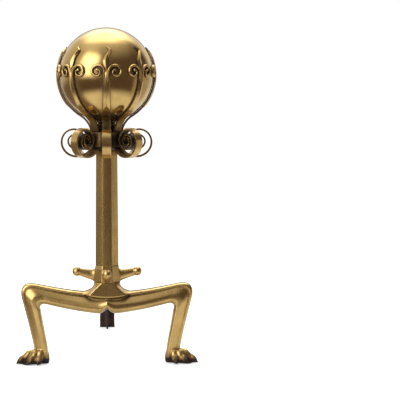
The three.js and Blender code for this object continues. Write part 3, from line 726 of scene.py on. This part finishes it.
def leg_edges():
    """Lower or inner and upper or outer edge and the depth, from the centre to the heel."""
    hip_top = Vector((CROSS_TOP_RUN, CROSS_TOP_HEIGHT))
    hip_bottom = Vector((NOTCH_HALF_WIDTH, CROSS_BOTTOM_HEIGHT))
    ankle = Vector((ANKLE_INNER, ANKLE_HEIGHT))
    outer_knee = rounding(hip_top, KNEE_OUTER, SHIN_BEND, KNEE_OUTER_RADIUS)
    inner_knee = rounding(hip_bottom, KNEE_INNER, ankle, KNEE_INNER_RADIUS)
    top = quadratic(Vector((CROSS_TOP_RUN / 2, CROSS_TOP_HEIGHT)), hip_top, outer_knee[0])
    bottom = quadratic(hip_bottom, CROSS_BOTTOM_BEND, inner_knee[0])
    outer_shin = quadratic(outer_knee[2], SHIN_BEND, Vector((ANKLE_OUTER, ANKLE_HEIGHT)))
    pairs = []

    def add_cross(x, height):
        share = x / inner_knee[0].x
        upper_x = share * outer_knee[0].x
        upper = Vector((upper_x, height_at(top, upper_x)))
        pairs.append((Vector((x, height)), upper, lerp(CROSS_DEPTH, KNEE_DEPTH, share)))

    for t in shares(NOTCH_STEPS)[:-1]:
        ogee = (1 - t) ** 2 if t > NOTCH_TIP else 1 - (2 - NOTCH_TIP) * t
        add_cross(t * NOTCH_HALF_WIDTH, lerp(CROSS_BOTTOM_HEIGHT, NOTCH_APEX_HEIGHT, ogee))
    for t in shares(CROSS_STEPS)[:-1]:
        x = lerp(NOTCH_HALF_WIDTH, inner_knee[0].x, t)
        add_cross(x, height_at(bottom, x))
    inner_arc, outer_arc = quadratic(*inner_knee), quadratic(*outer_knee)
    pairs += [(inner_arc(t), outer_arc(t), KNEE_DEPTH) for t in shares(KNEE_STEPS)]
    for t in shares(SHIN_STEPS)[1:]:
        depth = lerp(KNEE_DEPTH, ANKLE_DEPTH, t)
        pairs.append((inner_knee[2].lerp(ankle, t), outer_shin(t), depth))
    for t in shares(HEEL_STEPS)[1:]:
        z = lerp(ANKLE_HEIGHT, ANKLE_HEIGHT / 3, t)
        pairs.append((
            Vector((lerp(ANKLE_INNER, HEEL_INNER, t), z)),
            Vector((lerp(ANKLE_OUTER, HEEL_OUTER, t), z)),
            ANKLE_DEPTH,
        ))
    return pairs


# Half section: share of the way from the lower to the upper edge, share of half the depth
LEG_SECTION = [
    (0.0, 0.5), (0.03, 0.7), (0.08, 0.86), (0.13, 0.95), (0.17, 0.985), (0.2, 1.0), (0.3, 0.995),
    (0.4, 0.975), (0.44, 0.955), (0.5, 0.9), (0.58, 0.81), (0.66, 0.715), (0.76, 0.595),
    (0.785, 0.51), (0.805, 0.5), (0.825, 0.52), (0.85, 0.635), (0.9, 0.64), (0.95, 0.58), (1.0, 0.4),
]


def leg_beam():
    outline = [(up, -out) for up, out in LEG_SECTION] + list(reversed(LEG_SECTION))

    def section(pair, side):
        lower, upper, depth = pair
        points = []
        for up, out in outline:
            point = lower.lerp(upper, up)
            points.append(Vector((side * point.x, out * depth / 2, point.y)))
        return points

    pairs = leg_edges()
    left = [section(pair, -1) for pair in reversed(pairs[1:])]
    return loft(left + [section(pair, 1) for pair in pairs])


# Bell: height, and the half width there
BELL_FLARE = [
    (150, 23.7), (147, 23.6), (144.5, 23.9), (142, 24.9), (140, 26.3), (138, 28.5), (136, 31.7),
    (134.3, 35.8), (133, 40.2), (132, 44.6), (131.4, 48.5), (131.1, 51.5),
]
# Lip and cove under the flare: how far below its foot, and how far in from there
BELL_LIP = [
    (1.2, -0.3), (2.2, 0.6), (3.2, 2.4), (4.6, 4.8), (7.0, 7.2), (10.0, 8.6), (16.0, 9.4),
]
BELL_FOOT_DEPTH = 26
BELL_FACET_HALF = 32
BELL_END_HALF = 5
BELL_SAG = 6
BELL_SAG_CURVE = 0.55  # share of the sag that is gone at the front's corners


def bell():
    """Octagonal at the waist, with a broad foot along the crosspiece, a thin lip and a cove."""
    waist_facet = WAIST_RADIUS * math.tan(math.pi / SIDES)
    foot_height, foot_width = BELL_FLARE[-1]
    rows = []
    for height, half_width in BELL_FLARE:
        up = (height - foot_height) / (WAIST_HEIGHT - foot_height)
        out = (half_width - WAIST_RADIUS) / (foot_width - WAIST_RADIUS)
        rows.append((
            height, half_width, lerp(BELL_FACET_HALF, waist_facet, up),
            lerp(waist_facet, BELL_END_HALF, max(0, out)),
            lerp(WAIST_RADIUS, BELL_FOOT_DEPTH, (1 - up) ** 1.2),
            BELL_SAG * (1 - up) ** 2,
        ))
    for drop, inward in BELL_LIP:
        rows.append((
            foot_height - drop, foot_width - inward, BELL_FACET_HALF - inward, BELL_END_HALF,
            BELL_FOOT_DEPTH - inward, BELL_SAG,
        ))
    sections = []
    for height, half_width, facet, end, depth, sag in rows:
        front = []
        for share in shares(12):
            across = lerp(-facet, facet, share)
            drop = sag * (1 - (across / facet) ** 2 * BELL_SAG_CURVE)
            front.append(Vector((across, -depth, height - drop)))
        sides = [Vector((half_width, -end, height)), Vector((half_width, end, height))]
        back = [Vector((-p.x, depth, p.z)) for p in front]
        others = [Vector((-p.x, -p.y, p.z)) for p in sides]
        sections.append(front + sides + back + others)
    return loft(sections)


def ovals(rows, count, matrix):
    """Closed shell through upright ovals: distance along, middle height, half height, half width."""
    sections = []
    for along, height, half_height, half_width in rows:
        section = []
        for i in range(count):
            angle = 2 * math.pi * i / count
            section.append(matrix @ Vector((
                along, half_width * math.cos(angle), height + half_height * math.sin(angle)
            )))
        sections.append(section)
    return loft(sections)


# A paw: each toe's direction, in degrees from the paw's axis, and its length
PAW_SPLAY = 20
PAW_TOES = ((-56, 23), (-21, 31), (9, 42.5), (44, 30))
TOE_HALF_WIDTH = 6.9
# Instep: distance along the paw, middle height, half height, half width
INSTEP = [
    (-13.3, 9, 8, 7), (-11, 13, 13, 10.5), (-4, 15, 15, 12.5), (5, 13.5, 13.5, 13),
    (13, 10.5, 10.5, 15), (23, 7, 7, 15), (31, 4, 4, 11), (35, 3, 3, 6),
]
# Toe: share of its length, middle height, half height, share of its half width
TOE = [
    (0.0, 19, 8, 0.7), (0.2, 19.5, 8.2, 0.8), (0.38, 18.6, 8.6, 0.92), (0.55, 16.2, 10, 1.06),
    (0.66, 13.4, 10, 1.02), (0.78, 9.8, 8.4, 0.86), (0.87, 8.6, 7.6, 0.98), (0.94, 7.6, 6.4, 1.0),
    (1.0, 6.2, 4.8, 0.78), (1.04, 5.2, 3.2, 0.45),
]
# Claw: distance beyond the toe's length, middle height, half height, half width
CLAW = [
    (-6, 8.2, 3.0, 2.6), (-2, 7.4, 3.2, 2.8), (1, 5.4, 3.0, 2.5), (2.8, 3.2, 2.4, 1.8),
    (4.2, 1.4, 1.1, 0.8),
]


def paw(side):
    """Shells of a paw from the middle of the ankle: heel and instep, toes and claws."""
    middle = (ANKLE_OUTER + HEEL_INNER) / 2
    stand = Matrix.Translation((side * middle, 0, 0)) @ Matrix.Scale(side, 4, (1, 0, 0))
    stand = stand @ turn_z(-PAW_SPLAY)
    shells = [ovals(catmull(INSTEP, 5), 40, stand)]
    for angle, length in PAW_TOES:
        toe = stand @ turn_z(angle)
        rows = [(share * length, z, tall, wide * TOE_HALF_WIDTH) for share, z, tall, wide in TOE]
        shells.append(ovals(catmull(rows, 5), 28, toe))
        claw = [(length + beyond, z, tall, wide) for beyond, z, tall, wide in CLAW]
        shells.append(ovals(catmull(claw, 4), 16, toe))
    return shells


def box_shell(low, high):
    corners = [(x, y, z) for x in (low[0], high[0]) for y in (low[1], high[1])
               for z in (low[2], high[2])]
    faces = [(0, 1, 3, 2), (4, 6, 7, 5), (0, 4, 5, 1), (2, 3, 7, 6), (0, 2, 6, 4), (1, 5, 7, 3)]
    return corners, faces


def slab(low, high, reach):
    """Broad block between two heights, to cut a piece level with."""
    return box_shell((-reach, -reach, low), (reach, reach, high))


def cut_away(obj, shells):
    tool = make_object("tool", shells)
    cut = obj.modifiers.new("cut", "BOOLEAN")
    cut.operation = "DIFFERENCE"
    cut.solver = "EXACT"
    cut.object = tool
    apply_modifiers(obj)
    bpy.data.objects.remove(tool)


def make_leg_frame():
    obj = make_object("leg_casting", [leg_beam(), bell(), *paw(1), *paw(-1)])
    cast(obj, LEG_VOXEL, LEG_SMOOTHING)
    cut_away(obj, [
        slab(-CUT_THICKNESS, 0, LEG_CUT_REACH),
        slab(WAIST_HEIGHT, WAIST_HEIGHT + CUT_THICKNESS, LEG_CUT_REACH),
    ])
    cut_away(obj, [box_shell(
        (-BAR_POCKET_HALF, BAR_POCKET_FRONT, BAR_POCKET_CUT_FROM),
        (BAR_POCKET_HALF, CROSS_DEPTH, BAR_POCKET_TOP),
    )])
    place(obj, "leg_frame", cast_brass, sharp=60)


# ---- Arm boss ----

ARMS = 4
ARM_REACH = 54.5
ARM_ROOT_RISE, ARM_TIP_RISE = 6.2, 18.8  # of its middle line over the waist
ARM_ROOT_HEIGHT, ARM_TIP_HEIGHT = 25.5, 12.6
ARM_ROOT_WIDTH, ARM_TIP_WIDTH = 17, 11.5
ARM_SQUARENESS = 0.75  # 1 is an ellipse, 0 a rectangle
FLARE_FROM, FLARE_RUN = 21, 9  # where the flare at the boss begins to thin out, and how long it takes
FLARE_TALL, FLARE_WIDE = 2.8, 2.0
KNOB_RADIUS = 8.4
SHOULDER_OUT, SHOULDER_DROP = 1.2, 7
BOSS_VOXEL, BOSS_SMOOTHING = 0.6, 6
BOSS_CUT_REACH = 100


def arm(turn):
    """One arm that climbs to its round knob, deep at the root, with flattened sides."""
    root, tip = WAIST_HEIGHT + ARM_ROOT_RISE, WAIST_HEIGHT + ARM_TIP_RISE
    sections = []
    for share in shares(16):
        reach = ARM_REACH * share
        flare = min(1.0, max(0.0, 1 - (reach - FLARE_FROM) / FLARE_RUN)) ** 2
        half_height = lerp(ARM_ROOT_HEIGHT, ARM_TIP_HEIGHT, share) / 2 + FLARE_TALL * flare
        half_width = lerp(ARM_ROOT_WIDTH, ARM_TIP_WIDTH, share) / 2 + FLARE_WIDE * flare
        middle = lerp(root, tip, share)
        section = []
        for i in range(24):
            angle = 2 * math.pi * i / 24
            across, up = math.cos(angle), math.sin(angle)
            section.append(Vector((
                reach, half_width * math.copysign(abs(across) ** ARM_SQUARENESS, across),
                middle + half_height * math.copysign(abs(up) ** ARM_SQUARENESS, up),
            )))
        sections.append(section)
    knob = [
        (KNOB_RADIUS * math.sin(math.pi * t), -KNOB_RADIUS * math.cos(math.pi * t))
        for t in shares(24)
    ]
    knob[0], knob[-1] = (0, -KNOB_RADIUS), (0, KNOB_RADIUS)
    return [
        moved(loft(sections), turn_z(turn)),
        moved(lathe(knob, 32), turn_z(turn) @ Matrix.Translation((ARM_REACH, 0, tip))),
    ]


def make_arm_boss():
    foot, head = BOSS_LOW.z - FIT + CLOSE_FIT, BOSS_HIGH.z
    shaft_foot = (SHAFT_HIGH.y - SHAFT_LOW.y) / 2
    shells = [octagonal([
        (0, foot), (WAIST_RADIUS, foot), (shaft_foot + SHOULDER_OUT, head - SHOULDER_DROP),
        (shaft_foot, head), (0, head),
    ])]
    for i in range(ARMS):
        shells += arm(i * 360 / ARMS)
    obj = cast(make_object("arm_boss_cast", shells), BOSS_VOXEL, BOSS_SMOOTHING)
    cut_away(obj, [slab(0, foot, BOSS_CUT_REACH)])
    place(obj, "arm_boss", boss_brass, sharp=60)


# ---- Column and neck ----

SHAFT_TAPER = 1.5  # the radius lost between its foot and its head
SHAFT_WALL = 3
SHAFT_WEAR = 0.4  # rounding of its edges


def make_shaft():
    foot, head = SHAFT_LOW.z - FIT + CLOSE_FIT, SHAFT_HIGH.z
    foot_radius = (SHAFT_HIGH.y - SHAFT_LOW.y) / 2
    head_radius = foot_radius - SHAFT_TAPER
    rows = [
        (foot_radius - SHAFT_WALL, foot), (foot_radius, foot), (head_radius, head),
        (head_radius - SHAFT_WALL, head), (foot_radius - SHAFT_WALL, foot),
    ]
    obj = bevelled(make_object("octagonal_shaft", [octagonal(rows)]), SHAFT_WEAR)
    place(obj, "shaft", shaft_brass, sharp=14)


NECK_SHOULDER = 5.5
NECK_GRIP = 28
NECK_THROAT = 17
NECK_LEDGE, NECK_LEDGE_HEIGHT = 2, 4  # the slope from the grip to the throat
NECK_THROAT_HEIGHT = 3
NECK_WEAR = 0.8


def make_neck():
    foot, head = SHAFT_HIGH.z + FIT, NECK_HIGH.z
    shaft_head = (SHAFT_HIGH.y - SHAFT_LOW.y) / 2 - SHAFT_TAPER
    spigot = shaft_head - SHAFT_WALL - FIT
    grip_foot, grip_head = foot + NECK_SHOULDER, foot + NECK_SHOULDER + NECK_GRIP
    rows = [
        (0, NECK_LOW.z), (spigot, NECK_LOW.z), (spigot, foot), (shaft_head, foot),
        (NECK_RADIUS, grip_foot), (NECK_RADIUS, grip_head),
        (NECK_THROAT + NECK_LEDGE, grip_head + NECK_LEDGE_HEIGHT),
        (NECK_THROAT, head - NECK_THROAT_HEIGHT), (NECK_THROAT, head), (0, head),
    ]
    obj = bevelled(make_object("neck_block", [octagonal(rows)]), NECK_WEAR)
    place(obj, "neck_core", dark_brass, sharp=20)


SEAT_BORE = 5.2
SEAT_BEAD_HEIGHT = 4.4
SEAT_GROOVE, SEAT_GROOVE_HEIGHT = 3.2, 1  # between the bead and the cup
# Rim of the cup: how far in from its radius, and how far below its top
SEAT_RIM = [(0.6, 2.4), (0, 1.8), (0, 0.4), (0.5, 0)]
SEAT_DISH, SEAT_DISH_DEPTH = 12.3, 2.6


def make_seat():
    """Turned seat with a bead at its foot and a rim that the ball sinks into."""
    foot, head, radius = SEAT_LOW.z, SEAT_HIGH.z, (SEAT_HIGH.x - SEAT_LOW.x) / 2
    bead = SEAT_BEAD_HEIGHT / 2
    rows = [(SEAT_BORE, foot), (radius - bead, foot)]
    for turn in shares(10):
        angle = lerp(-math.pi / 2, math.pi / 2, turn)
        rows.append((radius - bead + bead * math.cos(angle), foot + bead * (1 + math.sin(angle))))
    groove = foot + SEAT_BEAD_HEIGHT
    rows += [(radius - SEAT_GROOVE, groove), (radius - SEAT_GROOVE, groove + SEAT_GROOVE_HEIGHT)]
    rows += [(radius - inward, head - drop) for inward, drop in SEAT_RIM]
    rows += [
        (SEAT_DISH, head - SEAT_DISH_DEPTH), (SEAT_BORE, head - SEAT_DISH_DEPTH), (SEAT_BORE, foot),
    ]
    obj = make_object("turned_seat", [lathe(rows, 96)])
    place(obj, "ball_seat", cast_brass)


COLLAR_MOUTH = (2, 6.5)  # how far the bore opens at each end, and over what height
COLLAR_WALL = 4.5
COLLAR_CHAMFER = 0.6
COLLAR_WEAR = 0.5


def make_collar():
    foot, head, outside = COLLAR_LOW.z, COLLAR_HIGH.z, (COLLAR_HIGH.y - COLLAR_LOW.y) / 2
    bore = outside - COLLAR_WALL
    opening, stretch = COLLAR_MOUTH
    rows = [
        (bore + opening, foot), (outside - COLLAR_CHAMFER, foot), (outside, foot + COLLAR_CHAMFER),
        (outside, head - COLLAR_CHAMFER), (outside - COLLAR_CHAMFER, head), (bore + opening, head),
        (bore, head - stretch), (bore, foot + stretch), (bore + opening, foot),
    ]
    obj = bevelled(make_object("neck_collar", [octagonal(rows)]), COLLAR_WEAR)
    place(obj, "collar_band", dark_brass, sharp=20)


# ---- Billet bar ----

BAR_VOXEL, BAR_SMOOTHING = 1.6, 3
HAMMER_MARK = 14
HAMMER_DEPTH = 0.9


def node_copy(node, name):
    """A copy of a CAD node's mesh as an object in millimetres round the column's axis."""
    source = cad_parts[node]
    mesh = source.data.copy()
    mesh.transform(Matrix.Translation(-AXIS) @ Matrix.Scale(1 / MM, 4) @ source.matrix_world)
    obj = bpy.data.objects.new(name, mesh)
    bpy.context.scene.collection.objects.link(obj)
    return obj


def make_bar():
    """Hand-forged bar: edges worn round, faces a little uneven."""
    obj = cast(node_copy("billet_bar", "forged_bar"), BAR_VOXEL, BAR_SMOOTHING)
    hammered = obj.modifiers.new("hammered", "DISPLACE")
    hammered.texture = bpy.data.textures.new("hammer_marks", "CLOUDS")
    hammered.texture.noise_scale = HAMMER_MARK
    hammered.strength = HAMMER_DEPTH
    hammered.mid_level = 1.0  # the marks only go inwards
    apply_modifiers(obj)
    place(obj, "billet_bar", iron, sharp=60)


make_ball()
make_straps()
make_leg_frame()
make_arm_boss()
make_shaft()
make_neck()
make_seat()
make_collar()
make_bar()

# The nodes that keep their solids
for node, material in {
    "ball_bush": dark_brass, "tie_rod": steel, "foot_washer": steel, "foot_nut": steel,
}.items():
    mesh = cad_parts[node].data
    mesh.materials.clear()
    mesh.materials.append(material)


# ---- Floor, reflections and lights ----

def seen_glow(tree, camera, gloss, other):
    """Strength of a glow for camera rays, for what a gloss or glass sees, and for other rays."""
    path = add_node(tree, "ShaderNodeLightPath")
    mirrored = math_node(
        tree, "ADD", path.outputs["Is Glossy Ray"], path.outputs["Is Transmission Ray"], clamp=True
    )
    direct = remap(tree, path.outputs["Is Camera Ray"], 0.0, 1.0, other, camera)
    extra = math_node(tree, "MULTIPLY", mirrored, gloss - other)
    return math_node(tree, "ADD", direct, extra)


FLOOR_COLOUR = (0.9, 0.9, 0.89, 1)
FLOOR_HALF = 30


def make_floor():
    material, tree, surface = new_material("floor")
    surface.inputs["Base Color"].default_value = FLOOR_COLOUR
    surface.inputs["Roughness"].default_value = 0.9
    surface.inputs["Specular IOR Level"].default_value = 0.0
    surface.inputs["Emission Color"].default_value = (1, 1, 1, 1)
    glow = seen_glow(tree, camera=0.45, gloss=0.08, other=0.0)
    tree.links.new(glow, surface.inputs["Emission Strength"])
    mesh = bpy.data.meshes.new("floor")
    corners = ((-1, -1), (1, -1), (1, 1), (-1, 1))
    mesh.from_pydata([(x * FLOOR_HALF, y * FLOOR_HALF, 0) for x, y in corners], [], [(0, 1, 2, 3)])
    mesh.materials.append(material)
    floor = bpy.data.objects.new("floor", mesh)
    bpy.context.scene.collection.objects.link(floor)


def make_world():
    world = bpy.data.worlds.new("studio")
    world.use_nodes = True
    bpy.context.scene.world = world
    tree = world.node_tree
    background = tree.nodes["Background"]
    background.inputs["Color"].default_value = (1, 1, 1, 1)
    glow = seen_glow(tree, camera=1.0, gloss=1.0, other=0.7)
    tree.links.new(glow, background.inputs["Strength"])


# Screens round the stage that only the metal's reflections see, over the white surroundings.
# A panel has azimuths from and to, rightwards from the camera's side, elevations from and to, its
# colour, and how far its edges fade out at the sides, below and above, all in degrees.
DARK_ROOM = (0.12, 0.085, 0.075)
PANELS = {
    "window": (-80, -8, -10, 58, (4.4, 4.3, 4.1), 26, 18, 22),
    "grey_right": (66, 136, -40, 16, (0.62, 0.58, 0.52), 12, 20, 8),
    "low_left": (-165, -58, -78, -2, (0.24, 0.19, 0.16), 28, 24, 10),
    "dark_horizon": (-122, 100, -42, 10, DARK_ROOM, 30, 17, 14),
    "dark_front": (-42, 142, -8, 85, DARK_ROOM, 24, 8, 56),
    "grey_left": (-160, -30, -8, 64, (0.8, 0.77, 0.72), 26, 8, 30),
}
# A cap is a round patch: the azimuth and elevation of its middle, its radius and its fade
CAPS = {
    "behind": (180, -3, 27, DARK_ROOM, 8),
    "overhead": (180, 64, 40, (3.5, 3.5, 3.45), 22),
}
SCREEN_DISTANCE = 6.0
SCREEN_SPACING = 0.1  # each screen stands this much behind the one before
SCREEN_FLOOR_GAP = 0.03  # the first screen stays this far above the floor, the next ones less
SCREEN_FLOOR_SPACING = 0.002
SCREEN_EYE = Vector((0, AXIS.y * MM, 0.45))  # elevations are seen from here


def direction(azimuth, elevation):
    across, up = math.radians(azimuth), math.radians(elevation)
    return Vector((math.sin(across) * math.cos(up), -math.cos(across) * math.cos(up), math.sin(up)))


def screen_material(name, colour):
    """A glow that fades to nothing where the screen's "fade" attribute does."""
    material = bpy.data.materials.new(name)
    material.use_nodes = True
    tree = material.node_tree
    tree.nodes.clear()
    glow = add_node(tree, "ShaderNodeEmission", {"Color": (*colour, 1), "Strength": 1.0})
    clear = add_node(tree, "ShaderNodeBsdfTransparent")
    fade = add_node(tree, "ShaderNodeAttribute", attribute_name="fade")
    mix = add_node(
        tree, "ShaderNodeMixShader",
        {0: fade.outputs["Fac"], 1: clear.outputs[0], 2: glow.outputs[0]},
    )
    output = add_node(tree, "ShaderNodeOutputMaterial")
    tree.links.new(mix.outputs[0], output.inputs[0])
    return material


def make_screen(name, grid, colour, layer):
    """A curved sheet through rows of (direction, fade), seen by glossy rays alone."""
    points, fades, faces = [], [], []
    for row in grid:
        for heading, fade in row:
            reach = SCREEN_DISTANCE + SCREEN_SPACING * layer
            if heading.z < 0:
                fall = SCREEN_EYE.z - SCREEN_FLOOR_GAP + SCREEN_FLOOR_SPACING * layer
                reach = min(reach, fall / -heading.z)
            points.append(SCREEN_EYE + heading * reach)
            fades.append(fade)
    across = len(grid[0])
    for row in range(len(grid) - 1):
        for column in range(across - 1):
            here = row * across + column
            faces.append((here, here + 1, here + across + 1, here + across))
    mesh = bpy.data.meshes.new(name)
    mesh.from_pydata(points, [], faces)
    mesh.attributes.new("fade", "FLOAT", "POINT").data.foreach_set("value", fades)
    mesh.materials.append(screen_material(name, colour))
    screen = bpy.data.objects.new(name, mesh)
    bpy.context.scene.collection.objects.link(screen)
    screen.visible_camera = False
    screen.visible_diffuse = False
    screen.visible_shadow = False
    screen.visible_transmission = False
    screen.visible_volume_scatter = False


def panel_grid(start, end, low, high, side_fade, low_fade, high_fade):
    grid = []
    for up in shares(40):
        elevation = lerp(low, high, up)
        level = smoothstep(elevation - low, 0, low_fade) * smoothstep(high - elevation, 0, high_fade)
        row = []
        for share in shares(60):
            azimuth = lerp(start, end, share)
            sides = smoothstep(min(azimuth - start, end - azimuth), 0, side_fade)
            row.append((direction(azimuth, elevation), level * sides))
        grid.append(row)
    return grid


def cap_grid(azimuth, elevation, radius, fade):
    middle = direction(azimuth, elevation)
    side = middle.cross(Vector((0, 0, 1))).normalized()
    above = side.cross(middle)
    grid = []
    for out in shares(30)[1:]:
        angle = math.radians(radius * out)
        level = smoothstep(radius * (1 - out), 0, fade)
        row = []
        for share in shares(48):
            turn = 2 * math.pi * share
            aside = side * math.cos(turn) + above * math.sin(turn)
            row.append((middle * math.cos(angle) + aside * math.sin(angle), level))
        grid.append(row)
    return grid


def make_screens():
    layer = 0
    for name, (start, end, low, high, colour, *fades) in PANELS.items():
        make_screen(name, panel_grid(start, end, low, high, *fades), colour, layer)
        layer += 1
    for name, (azimuth, elevation, radius, colour, fade) in CAPS.items():
        make_screen(name, cap_grid(azimuth, elevation, radius, fade), colour, layer)
        layer += 1


def add_light(name, place_at, aim, size, power):
    light = bpy.data.lights.new(name, "AREA")
    light.shape = "SQUARE"
    light.size = size
    light.energy = power
    obj = bpy.data.objects.new(name, light)
    bpy.context.scene.collection.objects.link(obj)
    obj.location = place_at
    obj.rotation_euler = (Vector(aim) - Vector(place_at)).to_track_quat("-Z", "Y").to_euler()
    obj.visible_camera = False
    obj.visible_glossy = False


# Where each light stands, where it points, its size and its power
LIGHTS = {
    "key": ((-1.3, -1.7, 1.7), (0, -0.1, 0.25), 1.2, 18),
    "top": ((0.2, 0.4, 2.4), (0, 0, 0.2), 1.8, 22),
}
CAMERA_DISTANCE = 3.0
CAMERA_HEIGHT = 0.488
CAMERA_DOWN, CAMERA_RIGHT = 3.62, 3.23  # degrees that it looks down and to the right
CAMERA_LENS = 148.9


def make_camera():
    camera = bpy.data.objects.new("camera", bpy.data.cameras.new("camera"))
    bpy.context.scene.collection.objects.link(camera)
    camera.location = (0, AXIS.y * MM - CAMERA_DISTANCE, CAMERA_HEIGHT)
    camera.rotation_euler = (math.radians(90 - CAMERA_DOWN), 0, math.radians(-CAMERA_RIGHT))
    camera.data.lens = CAMERA_LENS
    camera.data.sensor_width = 36
    camera.data.clip_end = 50
    bpy.context.scene.camera = camera


make_camera()
make_floor()
make_world()
make_screens()
for name, (place_at, aim, size, power) in LIGHTS.items():
    add_light(name, place_at, aim, size, power)
bpy.context.scene.view_settings.view_transform = "Standard"
